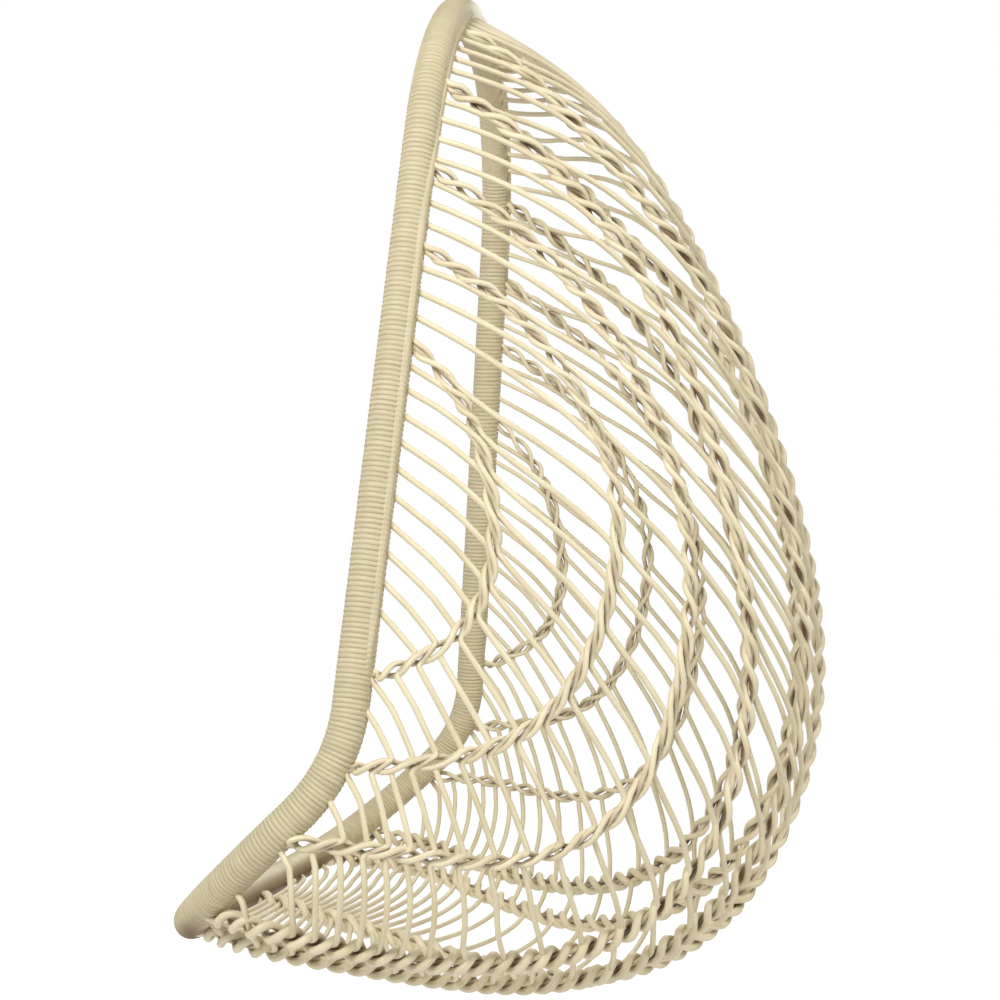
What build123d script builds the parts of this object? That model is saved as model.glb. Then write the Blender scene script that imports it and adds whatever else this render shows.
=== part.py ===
from build123d import *
import math
import os

# Hanging chair: a woven egg-shaped basket on one bent tube rim, hung by its crown.
# Millimetres, +Z up, the open side faces -Y, the crown of the rim is at the origin.

# Rim centre line, right half: corners from the crown down to the middle of the lip
shoulder_half_width = 250.0
knee_half_width = 402.0
knee_forward = 70.0
knee_drop = 856.0
lip_corner_half_width = 406.0
lip_corner_forward = 206.0
lip_corner_drop = 986.0
lip_half_width = 225.0
lip_forward = 276.0
lip_drop = 1034.0

# Bend radii of the rim at those corners
shoulder_bend = 250.0
knee_bend = 160.0
lip_corner_bend = 185.0
lip_bend = 280.0

# Rim tube, the plugs that join its halves, and the strand binding round it
tube_radius = 16.0
tube_wall = 1.5
tube_joint_gap = 0.4
plug_length = 60.0
plug_clearance = 0.15
binding_thickness = 2.7
binding_clearance = 0.1
binding_joint_gap = 0.4
crown_binding_reach = 150.0
lip_binding_reach = 120.0

# How finely the rim is drawn: chords of its bends in degrees, sides of its round sections
bend_step = 9.0
hidden_sides = 10
rim_sides = 16

# Spine of the basket, seen from the side: back, lowest point of the seat, and lip
back_depth = 400.0
back_drop = 756.0
seat_depth = 118.0
seat_drop = 1122.0
back_roundness = 1.6
seat_front_rise = 1.3

# Hoops: each strand lies on a planar hoop that swings from the rim to the spine
hoop_fan = 1.65
hoop_bulge = 0.14

# Strands, and how much wider they sit on the rim at the lip than at the crown
strand_count = 48
strand_side = 5.2
first_strand = 57.0
lip_margin = 178.0
pitch_growth = 1.9
seat_clearance = 0.2
longest_run = 150.0
widest_turn = 35.0
least_run = 45.0

# Lean of the strands against the hoops, in millimetres of run for each degree from the rim
lean_at_rim = -3.6
lean_gain = 0.1
lean_level_angle = 58.0
lean_run_gain = 0.004
lean_middle_run = 600.0
lean_crown_fade = 300.0
lean_lip_fade = 700.0

# Ridges: where a strand turns, runs along the ridge and dives on towards the spine
ridge_count = 5
first_ridge_start = 472.0
ridge_start_step = 93.5
first_ridge_end = 960.0
ridge_end_step = 106.0
first_ridge_angle = 16.5
ridge_angle_step = 14.0
first_ridge_skew = 1.3
ridge_skew = 0.75
ridge_width = 21.0
ridge_jog = 1.2
ridge_clear_of_rim = 52.0
ridge_lead_in = 3.0
least_jog = 0.3
spine_fade = 12.0


def bends_that_fit(corners, wanted):
    """Bend radii, each limited by the straight runs on both sides of its corner."""
    legs = [b - a for a, b in zip(corners, corners[1:])]
    half_turns = [math.radians(a.get_angle(b)) / 2 for a, b in zip(legs, legs[1:])]
    tangents = [r * math.tan(h) for r, h in zip(wanted, half_turns)]
    shares = [1.0 for _ in wanted]
    for i, leg in enumerate(legs):
        used = [k for k in (i - 1, i) if 0 <= k < len(wanted)]
        need = sum(tangents[k] for k in used)
        for k in used:
            shares[k] = min(shares[k], 0.985 * leg.length / need)
    return [r * s for r, s in zip(wanted, shares)]


# Centre lines
rim_corners = [
    Vector(0, 0, 0),
    Vector(shoulder_half_width, 0, 0),
    Vector(knee_half_width, -knee_forward, -knee_drop),
    Vector(lip_corner_half_width, -lip_corner_forward, -lip_corner_drop),
    Vector(lip_half_width, -lip_forward, -lip_drop),
    Vector(0, -lip_forward, -lip_drop),
]
rim_bends = bends_that_fit(rim_corners, [shoulder_bend, knee_bend, lip_corner_bend, lip_bend])
rim_line = FilletPolyline(*rim_corners, radius=rim_bends)
rim_points = [rim_corners[0]]
for edge in rim_line.edges():
    chords = 1
    if edge.geom_type == GeomType.CIRCLE:
        chords = math.ceil(math.degrees(edge.length / edge.radius) / bend_step)
    rim_points += [edge @ (i / chords) for i in range(1, chords + 1)]
rim_path = Polyline(*rim_points)
rim_length = rim_path.length
binding_radius = tube_radius + binding_clearance + binding_thickness

spine_points = []
for angle in (90, 66, 44, 22):
    out = back_depth * math.cos(math.radians(angle)) ** (2 / back_roundness)
    up = back_drop * math.sin(math.radians(angle)) ** (2 / back_roundness)
    spine_points.append((0, out, up - back_drop))
for angle in (0, 30, 60, 90):
    out = seat_depth + (back_depth - seat_depth) * math.cos(math.radians(angle))
    down = (seat_drop - back_drop) * math.sin(math.radians(angle))
    spine_points.append((0, out, -back_drop - down))
for share in (0.5, 1.0):
    out = seat_depth - (seat_depth + lip_forward) * share
    spine_points.append((0, out, -seat_drop + (seat_drop - lip_drop) * share ** seat_front_rise))
spine_line = Spline(*spine_points)

steps = 480
rim_samples = [rim_path @ (i / steps) for i in range(steps + 1)]
spine_samples = [spine_line @ (i / steps) for i in range(steps + 1)]


def sampled(samples, share):
    """Point at a share of a sampled line's length."""
    place = min(max(share, 0.0), 1.0) * steps
    i = min(int(place), steps - 1)
    return samples[i] + (samples[i + 1] - samples[i]) * (place - i)


def shell(run, angle):
    """Point of the basket: run is along the rim from the crown, angle 0 at the rim, 90 at the spine."""
    share = run / rim_length
    rim = sampled(rim_samples, share)
    spine = sampled(spine_samples, 1 - (1 - share) ** hoop_fan)
    a = math.radians(angle)
    wide = rim.X * (math.cos(a) + hoop_bulge * math.sin(2 * a))
    back = rim + (spine - rim) * math.sin(a)
    return Vector(wide, back.Y, back.Z)


def ridge_span(number):
    """Where ridge 1, 2, ... leaves the rim and comes back to it, as runs from the crown."""
    start = first_ridge_start - ridge_start_step * (number - 1)
    end = first_ridge_end + ridge_end_step * (number - 1)
    return start, end


def ridge_angle(number, run):
    """Angle of a ridge on the hoop at that run: a rise, a long flat crest and a fall."""
    start, end = ridge_span(number)
    share = min(max((run - start) / (end - start), 0.0), 1.0)
    peak = first_ridge_angle + ridge_angle_step * (number - 1)
    skew = first_ridge_skew if number == 1 else ridge_skew
    return peak * max(math.sin(math.pi * share ** skew), 0.0) ** 0.6


def off_rim(number, run):
    return (shell(run, ridge_angle(number, run)) - shell(run, 0)).length


def ridge_reach(number, outer, crest):
    """The run, between a ridge's end on the rim and its crest, where it has come clear of the rim."""
    for _ in range(40):
        middle = (outer + crest) / 2
        if off_rim(number, middle) > ridge_clear_of_rim:
            crest = middle
        else:
            outer = middle
    return crest


# A strand has a place in the row of strands, its line: 0, 1, 2, ... from the crown. Each ridge moves it on.
line_span = strand_count - 1 + ridge_count * ridge_jog
mean_pitch = (rim_length - lip_margin - first_strand) / line_span
crown_pitch = 2 * mean_pitch / (1 + pitch_growth)
pitch_step = (pitch_growth - 1) * crown_pitch / line_span


def rim_run(line):
    """Where a line meets the rim, as a run from the crown: the pitch grows evenly towards the lip."""
    return first_strand + crown_pitch * line + pitch_step * line * line / 2


def leaning_run(line, angle):
    """Run of a line at an angle from the rim: it leans to the crown near the rim, then to the lip."""
    run = rim_run(line)
    level = min(angle, lean_level_angle)
    lean = (lean_at_rim + lean_run_gain * (run - lean_middle_run)) * angle
    lean += lean_gain * (level * angle - level * level / 2)
    from_lip = max(rim_length - run, 0.0) / lean_lip_fade
    return run + lean * min(run / lean_crown_fade, from_lip * from_lip, 1.0)


def spot(line, angle):
    """Point of the basket on a line, at an angle from the rim."""
    return shell(leaning_run(line, angle), angle)


def crossing(number, line):
    """Angle and run where a line meets a ridge."""
    low = 0.0
    high = 90.0
    for _ in range(40):
        middle = (low + high) / 2
        if middle < ridge_angle(number, leaning_run(line, middle)):
            low = middle
        else:
            high = middle
    return high, leaning_run(line, high)


def line_at(number, run):
    """The line that meets a ridge at that run."""
    low = 0.0
    high = line_span
    for _ in range(40):
        middle = (low + high) / 2
        if crossing(number, middle)[1] < run:
            low = middle
        else:
            high = middle
    return high


ridge_heads = []
ridge_feet = []
for number in range(1, ridge_count + 1):
    start, end = ridge_span(number)
    crest = start + 0.4 * (end - start)
    ridge_heads.append(line_at(number, ridge_reach(number, start, crest)))
    ridge_feet.append(line_at(number, ridge_reach(number, end, crest)) - ridge_jog)


def strand_line(number):
    """Line of a strand at the rim, with a wider gap below the foot of each ridge."""
    line = float(number)
    for foot in ridge_feet:
        if line >= foot:
            line += ridge_jog
    return line


def jog(number, line):
    """How many lines a strand is moved on by a ridge: it builds up below the ridge's head and ends at its foot."""
    head = ridge_heads[number - 1]
    if line <= head or line >= ridge_feet[number - 1]:
        return 0.0
    return ridge_jog * min((line - head) / ridge_lead_in, 1.0)


def spine_jog(line):
    """The same on the spine, fading out towards the crown and the lip."""
    full = min(line, line_span - line) / spine_fade
    return ridge_jog * min(max(full, 0.0), 1.0)


def on_ridge(number, line, side):
    """Point where a line meets one edge of a ridge, and its angle: side -1 faces the rim, +1 faces the spine."""
    here, run = crossing(number, line)
    middle = shell(run, here)
    along = (shell(run + 2, ridge_angle(number, run + 2)) - middle).normalized()
    across = shell(run, here + 0.5) - middle
    across = (across - along * across.dot(along)).normalized()
    return middle + across * (side * ridge_width / 2), here


def half_strand(line, inwards):
    """Stations of one half of a strand from the rim to the spine, and its line at the spine.

    Inwards, line is at the rim; otherwise line is at the spine and the ridges are undone in turn."""
    order = range(1, ridge_count + 1) if inwards else range(ridge_count, 0, -1)
    stations = []
    for number in order:
        if inwards:
            enter = line
            leave = line + jog(number, line)
        else:
            leave = line
            enter = line
            if line < ridge_feet[number - 1] + ridge_jog:
                for _ in range(60):
                    enter = (enter + leave - jog(number, min(enter, ridge_feet[number - 1] - 0.0001))) / 2
        if leave - enter > least_jog:
            near = on_ridge(number, enter, -1) + (enter,)
            far = on_ridge(number, leave, 1) + (leave,)
            stations += [near, far] if inwards else [far, near]
        line = leave if inwards else enter
    return stations, line


def filled(stations):
    """Points of the stations, with extra ones on long runs, so that the strand keeps to the basket's curve."""
    points = [stations[0][0]]
    for (p, a, u), (q, b, v) in zip(stations, stations[1:]):
        extra = int(max((q - p).length / longest_run, abs(b - a) / widest_turn))
        for i in range(1, extra + 1):
            f = i / (extra + 1)
            point = spot(u + (v - u) * f, a + (b - a) * f)
            if min((point - p).length, (point - q).length) > least_run:
                points.append(point)
        points.append(q)
    return points


def rim_along(run):
    return sampled(rim_samples, (run + 2) / rim_length) - sampled(rim_samples, (run - 2) / rim_length)


def end_plane(centre, along, run):
    """Plane of a strand's flat end, with one side of the strand square to the rim."""
    return Plane(origin=centre, x_dir=rim_along(run), z_dir=along)


def end_gap(plane, run):
    """Least distance from a strand's flat end to the rim's centre line near that run."""
    half = strand_side / 2
    spots = [plane.from_local_coords(Vector(a * half, b * half, 0)) for a in (-1, 0, 1) for b in (-1, 0, 1)]
    i = round(run / rim_length * steps)
    axis = rim_samples[max(i - 14, 0) : i + 15]
    return min((spot - point).length for spot in spots for point in axis)


def seated(run, next_point):
    """End of a strand on its way to the rim at that run, stopped on the binding's surface."""
    axis_point = shell(run, 0)
    along = (next_point - axis_point).normalized()
    low = binding_radius
    high = 4 * binding_radius
    for _ in range(20):
        middle = (low + high) / 2
        if end_gap(end_plane(axis_point + along * middle, along, run), run) < binding_radius + seat_clearance:
            low = middle
        else:
            high = middle
    return axis_point + along * high


def mirrored(points):
    return [Vector(-p.X, p.Y, p.Z) for p in points]


def strand_path(number):
    """Corner points of one strand, from the right rim round the spine to the left rim."""
    line = strand_line(number)
    half_ridge = Vector(ridge_width / 2, 0, 0)
    stations, spine_line = half_strand(line, True)
    far_line = spine_line + spine_jog(spine_line)
    before = (spot(spine_line, 90) + half_ridge, 90, spine_line)
    after = (spot(far_line, 90) + half_ridge, 90, far_line)
    near = filled([(spot(line, 0), 0, line)] + stations + [before])
    near[0] = seated(rim_run(line), near[1])
    stations, rim_line = half_strand(far_line, False)
    far = filled([after] + stations + [(spot(rim_line, 0), 0, rim_line)])
    far[-1] = seated(rim_run(rim_line), far[-2])
    return near + mirrored(far)


def strand(number):
    path = Polyline(*strand_path(number))
    section = end_plane(path @ 0, path % 0, rim_run(strand_line(number))) * Rectangle(strand_side, strand_side)
    return sweep(section, path=path, transition=Transition.RIGHT)


def rim_core(radius, sides):
    """A solid bar along the right half of the rim."""
    section = Plane(origin=rim_path @ 0, z_dir=rim_path % 0) * RegularPolygon(radius, sides)
    return sweep(section, path=rim_path, transition=Transition.RIGHT)


def end_block(run, towards):
    """A block that holds the end of the rim's right half, from a run to the middle of the crown or lip."""
    share = run / rim_length
    reach = run if towards < 0 else rim_length - run
    cut = Plane(origin=rim_path @ share, z_dir=(rim_path % share) * towards)
    wide = 2 * reach + 4 * binding_radius
    return cut * Box(wide, wide, 2 * reach, align=(Align.CENTER, Align.CENTER, Align.MIN))


def across_middle(half):
    """One solid from a half that ends on the middle plane."""
    return half + mirror(half, about=Plane.YZ)


def left_of(right):
    return mirror(right, about=Plane.YZ)


# Rim tube in two bent halves, with a plug in the joint at the crown and at the lip
bore_radius = tube_radius - tube_wall
joint = Box(tube_joint_gap, 4 * lip_forward, 4 * lip_drop)
rim_tube = rim_core(tube_radius, hidden_sides) - rim_core(bore_radius, hidden_sides) - joint
plug_bar = rim_core(bore_radius - plug_clearance, hidden_sides)
crown_plug = across_middle(plug_bar & end_block(plug_length / 2, -1))
lip_plug = across_middle(plug_bar & end_block(rim_length - plug_length / 2, 1))

# Binding: strand wound close round the tube, in four lengths
binding = rim_core(binding_radius, rim_sides) - rim_core(tube_radius + binding_clearance, hidden_sides)
lip_start = rim_length - lip_binding_reach
crown_binding = across_middle(binding & end_block(crown_binding_reach, -1))
lip_binding = across_middle(binding & end_block(lip_start, 1))
side_binding = binding - end_block(crown_binding_reach + binding_joint_gap, -1)
side_binding -= end_block(lip_start - binding_joint_gap, 1)

os.makedirs("parts", exist_ok=True)
export_step(rim_tube, "parts/rim_tube_right.step")
export_step(left_of(rim_tube), "parts/rim_tube_left.step")
export_step(crown_plug, "parts/crown_plug.step")
export_step(lip_plug, "parts/lip_plug.step")
export_step(side_binding, "parts/rim_binding_right.step")
export_step(left_of(side_binding), "parts/rim_binding_left.step")
export_step(crown_binding, "parts/rim_binding_crown.step")
export_step(lip_binding, "parts/rim_binding_lip.step")

# Strands
for number in range(strand_count):
    export_step(strand(number), f"parts/strand_{number + 1:02d}.step")
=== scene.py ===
# %% [markdown]
# A woven hanging chair: one bent rim, wound with cane, 48 strands that run from the right side of the rim
# round the spine to the left side, and ropes of two twisted canes that hold the strands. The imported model
# gives the frame, so every piece made here is in metres in the same place. Everything is deselected
# first, because an operator acts on all that is selected.

# %% Load the frame
import math
import random

import bpy
import numpy as np
from numpy.linalg import norm
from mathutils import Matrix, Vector
from mathutils.kdtree import KDTree


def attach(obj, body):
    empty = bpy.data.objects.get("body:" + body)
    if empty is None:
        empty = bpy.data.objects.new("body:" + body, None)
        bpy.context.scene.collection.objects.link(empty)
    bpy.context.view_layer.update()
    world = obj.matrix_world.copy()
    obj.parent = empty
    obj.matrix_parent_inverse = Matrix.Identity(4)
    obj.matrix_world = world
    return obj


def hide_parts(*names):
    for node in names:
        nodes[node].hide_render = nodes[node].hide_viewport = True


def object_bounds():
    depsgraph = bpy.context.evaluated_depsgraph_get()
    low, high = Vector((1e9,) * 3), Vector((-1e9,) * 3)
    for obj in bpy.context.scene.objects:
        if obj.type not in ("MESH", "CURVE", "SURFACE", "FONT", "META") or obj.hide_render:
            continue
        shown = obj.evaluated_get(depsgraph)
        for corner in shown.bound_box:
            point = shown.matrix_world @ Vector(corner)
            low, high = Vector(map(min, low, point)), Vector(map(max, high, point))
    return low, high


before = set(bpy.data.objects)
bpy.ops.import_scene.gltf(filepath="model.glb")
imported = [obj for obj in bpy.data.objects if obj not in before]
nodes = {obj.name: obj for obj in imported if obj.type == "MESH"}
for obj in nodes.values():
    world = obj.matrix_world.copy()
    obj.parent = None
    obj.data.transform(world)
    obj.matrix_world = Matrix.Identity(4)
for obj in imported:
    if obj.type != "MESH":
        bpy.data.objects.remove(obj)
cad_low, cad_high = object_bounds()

bpy.ops.object.select_all(action="DESELECT")
print("frame:", len(nodes), "nodes, box", [round(b - a, 3) for a, b in zip(cad_low, cad_high)])

# %% [markdown]
# The camera stands to the right of the chair, a little behind it and a little below its middle, so that
# the open front is on the left of the picture. It could be placed by eye. Here its place comes from two
# angles and a distance, and its lens from the width of the picture at the chair, so that each can be
# changed alone.

# %% Camera
camera_azimuth = math.radians(97.5)
camera_elevation = math.radians(-4.5)
camera_distance = 2.1
picture_width = 1.19
sensor_width = 36.0
picture_middle = Vector((0.0, 0.029, -0.566))
looking = Vector((-math.sin(camera_azimuth) * math.cos(camera_elevation),
                  math.cos(camera_azimuth) * math.cos(camera_elevation),
                  -math.sin(camera_elevation)))
bpy.ops.object.camera_add(location=picture_middle - looking * camera_distance,
                          rotation=looking.to_track_quat("-Z", "Y").to_euler())
camera = bpy.context.object
camera.name = "camera"
camera.data.sensor_width = sensor_width
camera.data.lens = sensor_width * camera_distance / picture_width
camera.data.clip_end = 50.0
bpy.context.scene.camera = camera
print("camera lens", round(camera.data.lens, 2))

# %% [markdown]
# The floor is a wide pale plate below the chair. Far from the lamps it would turn grey. More light there
# would fall on the chair too, so the floor glows a little for the camera alone, more with the distance,
# and under the chair it keeps the shadow. Small helpers add and link shader nodes, because every finish
# below is a tree of them.

# %% Floor
def set_inputs(node, values):
    """Write values into a node's inputs."""
    for name, value in dict(values).items():
        node.inputs[name].default_value = value


def new_node(tree, kind, values=(), **settings):
    """A shader node of a kind, with its settings and the values of its inputs."""
    made = tree.nodes.new("ShaderNode" + kind)
    for name, value in settings.items():
        setattr(made, name, value)
    set_inputs(made, values)
    return made


def link_up(tree, *links):
    """Link nodes: each link is a node, its output, the next node and its input."""
    for first, out, last, into in links:
        tree.links.new(first.outputs[out], last.inputs[into])


def new_finish(name, values=()):
    """A material with its node tree and its shader."""
    made = bpy.data.materials.new(name)
    made.use_nodes = True
    shader = made.node_tree.nodes["Principled BSDF"]
    set_inputs(shader, values)
    return made, made.node_tree, shader


white = (1.0, 1.0, 1.0, 1.0)
floor_gap, floor_size = 0.30, 30.0
floor_height = cad_low.z - floor_gap
bpy.ops.mesh.primitive_plane_add(size=floor_size, location=(0.0, 0.0, floor_height))
floor = bpy.context.object
floor.name = "floor"
floor_paint, tree, shader = new_finish("floor_paint", {
    "Base Color": (0.93, 0.93, 0.93, 1.0), "Roughness": 0.9, "Emission Color": white})
ray = new_node(tree, "LightPath")
place = new_node(tree, "TexCoord")
distance = new_node(tree, "VectorMath", operation="LENGTH")
fill = new_node(tree, "MapRange", {"From Min": 0.8, "From Max": 3.6, "To Min": 0.06, "To Max": 0.80})
glow = new_node(tree, "Math", operation="MULTIPLY")
link_up(tree,
        (place, "Object", distance, 0),
        (distance, "Value", fill, "Value"),
        (fill, "Result", glow, 1),
        (ray, "Is Camera Ray", glow, 0),
        (glow, 0, shader, "Emission Strength"))
floor.data.materials.append(floor_paint)
print("floor at", round(floor_height, 3))

# %% [markdown]
# The light is that of a plain studio: a large soft lamp from the camera's side and above, and weaker ones
# from behind, from the far side and from the front. Area lamps are chosen because their size makes the
# shadows soft.

# %% Lamps
lamps = [
    ("key_lamp", (2.2, -0.7, 0.7), (0.0, 0.05, -0.60), 1.1, 54.0),
    ("back_lamp", (1.2, 2.2, 0.7), (0.0, 0.2, -0.55), 1.2, 36.0),
    ("far_lamp", (-2.3, 0.3, 0.7), (0.0, 0.1, -0.60), 1.2, 30.0),
    ("front_lamp", (-0.7, -2.4, 0.5), (0.0, 0.1, -0.60), 1.2, 16.0),
]
for name, stand, aim, size, energy in lamps:
    turn = (Vector(aim) - Vector(stand)).to_track_quat("-Z", "Y").to_euler()
    bpy.ops.object.light_add(type="AREA", location=stand, rotation=turn)
    lamp = bpy.context.object
    lamp.name = name
    lamp.data.size = size
    lamp.data.energy = energy
print("lamps:", len(lamps))

# %% [markdown]
# The world is an even white. One background at full strength would wash out the cane, so there are two:
# the camera sees white, and the chair gets less light than that. The Standard view is chosen so that
# colours come out about as they are written.

# %% World
world_level = 0.22
world = bpy.data.worlds.new("studio")
bpy.context.scene.world = world
world.use_nodes = True
tree = world.node_tree
tree.nodes.clear()
surface = new_node(tree, "OutputWorld")
mixed = new_node(tree, "MixShader")
light = new_node(tree, "Background", {"Color": white, "Strength": world_level})
plain = new_node(tree, "Background", {"Color": white, "Strength": 1.0})
ray = new_node(tree, "LightPath")
link_up(tree,
        (ray, "Is Camera Ray", mixed, "Fac"),
        (light, 0, mixed, 1),
        (plain, 0, mixed, 2),
        (mixed, 0, surface, "Surface"))
bpy.context.scene.view_settings.view_transform = "Standard"
print("world gives", world_level, "of white")

# %% [markdown]
# The rim is a bent tube: straight runs between corners, with a round bend at each corner. A Bezier curve
# could be drawn by hand, but a tube is bent by corners and radii, and so is this line. It is kept in
# millimetres, from the crown down the right side to the middle of the lip, and so is the spine, a smooth
# line through a few points on the middle plane.

# %% Centre lines of the rim and the spine
rim_corners = [(0, 0, 0), (250, 0, 0), (402, -70, -856), (406, -206, -986), (225, -276, -1034),
               (0, -276, -1034)]
rim_bends = [250, 160, 185, 280]
bend_step = 3
smooth_points = 600
line_step = 3


def bent_line(corners, bends):
    """Points along straight runs with round bends between them."""
    corners = [Vector(c) for c in corners]
    points = [corners[0]]
    for before, corner, after, bend in zip(corners, corners[1:], corners[2:], bends):
        back = (before - corner).normalized()
        on = (after - corner).normalized()
        opening = back.angle(on)
        middle = corner + (back + on).normalized() * (bend / math.sin(opening / 2))
        first = corner + back * (bend / math.tan(opening / 2)) - middle
        last = corner + on * (bend / math.tan(opening / 2)) - middle
        turn = math.pi - opening
        count = max(4, round(math.degrees(turn) / bend_step))
        for i in range(count + 1):
            share = i / count
            arm = first * math.sin((1 - share) * turn) + last * math.sin(share * turn)
            points.append(middle + arm / math.sin(turn))
    points.append(corners[-1])
    return np.array([tuple(p) for p in points])


def lengths(points):
    """Length from the start of a line to each of its points."""
    return np.r_[0, np.cumsum(norm(np.diff(points, axis=0), axis=1))]


def smooth_line(points):
    """Close points along a smooth line through the given ones, a cubic for each stretch."""
    p = np.array(points, float)
    d = lengths(p)
    n = len(p)
    h = np.diff(d)
    a = np.eye(n)
    b = np.zeros_like(p)
    for i in range(1, n - 1):
        a[i, i - 1:i + 2] = h[i - 1], 2 * (h[i - 1] + h[i]), h[i]
        b[i] = 6 * ((p[i + 1] - p[i]) / h[i] - (p[i] - p[i - 1]) / h[i - 1])
    m = np.linalg.solve(a, b)
    out = []
    for x in np.linspace(0, d[-1], smooth_points):
        i = min(int(np.searchsorted(d, x, "right")) - 1, n - 2)
        u, v = d[i + 1] - x, x - d[i]
        out.append((m[i] * u ** 3 + m[i + 1] * v ** 3) / (6 * h[i])
                   + (p[i] / h[i] - m[i] * h[i] / 6) * u + (p[i + 1] / h[i] - m[i + 1] * h[i] / 6) * v)
    return np.array(out)


def evenly(points, step):
    """The same line with points at an even step."""
    d = lengths(points)
    at = np.linspace(0, d[-1], max(2, round(d[-1] / step) + 1))
    return np.stack([np.interp(at, d, points[:, k]) for k in range(3)], 1)


back_depth, back_drop, back_roundness = 400, 756, 1.6
seat_depth, seat_drop, seat_front_rise = 118, 1122, 1.3
lip_forward, lip_drop = 276, 1034
spine_points = []
power = 2 / back_roundness
for angle in (90, 66, 44, 22):
    c, s = max(math.cos(math.radians(angle)), 0), math.sin(math.radians(angle))
    spine_points.append((0, back_depth * c ** power, back_drop * s ** power - back_drop))
for angle in (0, 30, 60, 90):
    c, s = math.cos(math.radians(angle)), math.sin(math.radians(angle))
    spine_points.append((0, seat_depth + (back_depth - seat_depth) * c,
                         -back_drop - (seat_drop - back_drop) * s))
for share in (0.5, 1.0):
    spine_points.append((0, seat_depth - (seat_depth + lip_forward) * share,
                         -seat_drop + (seat_drop - lip_drop) * share ** seat_front_rise))
rim_line = evenly(bent_line(rim_corners, rim_bends), line_step)
spine_line = evenly(smooth_line(spine_points), line_step)
rim_length = lengths(rim_line)[-1]
print("rim half", round(rim_length), "mm, spine", round(lengths(spine_line)[-1]), "mm")

# %% [markdown]
# The basket is a rounded shell, and every cane lies on it. A mesh could be shaped and the canes shrunk
# onto it; a formula is exact, and it gives the direction out of the basket as well. The surface is a
# family of hoops. Each hoop starts at a run along the rim, measured from the crown, and swings back to
# the spine; its angle goes from 0 at the rim to 90 at the spine. Five ridges on each side are lines on
# this surface that leave the rim, rise to a long crest and come back to the rim.

# %% The basket's surface and its ridges
hoop_fan, hoop_bulge = 1.65, 0.14
basket_middle = np.array((0.0, 40.0, -600.0))
ridge_count = 5
head_run, head_step = 472, 93.5
foot_run, foot_step = 960, 106
crest_angle, crest_step, crest_power = 16.5, 14, 0.6
first_skew, other_skew = 1.3, 0.75
clear_of_rim = 52


def clipped(share):
    """A share kept between 0 and 1."""
    return min(max(share, 0.0), 1.0)


def unit(vector):
    """The same direction with a length of 1."""
    return vector / norm(vector)


def along(line, share):
    """Point at a share of a line."""
    place = clipped(share) * (len(line) - 1)
    i = min(int(place), len(line) - 2)
    return line[i] + (line[i + 1] - line[i]) * (place - i)


def shell(run, angle):
    """Point of the basket, in millimetres."""
    share = run / rim_length
    rim = along(rim_line, share)
    spine = along(spine_line, 1 - (1 - clipped(share)) ** hoop_fan)
    a = math.radians(angle)
    point = rim + (spine - rim) * math.sin(a)
    point[0] = rim[0] * (math.cos(a) + hoop_bulge * math.sin(2 * a))
    return point


def outward(run, angle):
    """Direction that points straight out of the basket."""
    down = shell(run + 4, angle) - shell(run - 4, angle)
    round_ = shell(run, angle + 1.5) - shell(run, angle - 1.5)
    out = np.cross(round_, down)
    if out @ (shell(run, angle) - basket_middle) < 0:
        out = -out
    return unit(out)


def ridge_span(number):
    """Runs where a ridge leaves the rim and comes back to it."""
    return head_run - head_step * (number - 1), foot_run + foot_step * (number - 1)


def ridge_angle(number, run):
    """Angle of a ridge at a run."""
    start, end = ridge_span(number)
    share = clipped((run - start) / (end - start))
    skew = first_skew if number == 1 else other_skew
    crest = crest_angle + crest_step * (number - 1)
    return crest * max(math.sin(math.pi * share ** skew), 0.0) ** crest_power


def halved(low, high, goes_on, rounds):
    """The place between two others where a test no longer holds, found by halving."""
    for _ in range(rounds):
        middle = (low + high) / 2
        if goes_on(middle):
            low = middle
        else:
            high = middle
    return high


def ridge_reach(number, outer, crest):
    """The run where a ridge has come clear of the rim."""
    def too_near(run):
        return norm(shell(run, ridge_angle(number, run)) - shell(run, 0)) <= clear_of_rim
    return halved(outer, crest, too_near, rounds=40)


print("surface from", np.round(shell(0, 0)), "to", np.round(shell(rim_length, 90)))

# %% [markdown]
# A strand has a place in the row of strands, its line: 0, 1, 2 and so on from the crown. Near the rim it
# leans towards the crown, and near the spine towards the lip. Each ridge moves it on by a little more
# than one line, and the row has a wider gap on the rim where a ridge ends, so the spacing stays even. A
# rule is chosen because 48 paths drawn by hand would not be even.

# %% Lines of the strands
strand_count = 48
ridge_jog = 1.2
line_span = strand_count - 1 + ridge_count * ridge_jog
first_run, lip_run = 57, 178
pitch_rise = 0.9
mean_pitch = (rim_length - lip_run - first_run) / line_span
crown_pitch = 2 * mean_pitch / (2 + pitch_rise)
pitch_step = pitch_rise * crown_pitch / line_span
rim_lean, lean_change, even_run = -3.6, 0.004, 600
level_angle, lean_turn = 58.0, 0.1
crown_ease, lip_ease = 300, 700


def rim_run(line):
    """Run of a line on the rim."""
    return first_run + crown_pitch * line + pitch_step * line * line / 2


def leaning_run(line, angle):
    """Run of a line at an angle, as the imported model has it."""
    run = rim_run(line)
    level = np.minimum(angle, level_angle)
    lean = (rim_lean + lean_change * (run - even_run)) * angle
    lean = lean + lean_turn * (level * angle - level * level / 2)
    from_lip = max(rim_length - run, 0.0) / lip_ease
    return run + lean * min(run / crown_ease, from_lip * from_lip, 1.0)


def crossing_run(number, line):
    """Run where a line meets a ridge."""
    angle = halved(0.0, 90.0, lambda a: a < ridge_angle(number, leaning_run(line, a)), rounds=30)
    return leaning_run(line, angle)


def line_at(number, run):
    """The line that meets a ridge at a run."""
    return halved(0.0, line_span, lambda line: crossing_run(number, line) < run, rounds=30)


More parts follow.
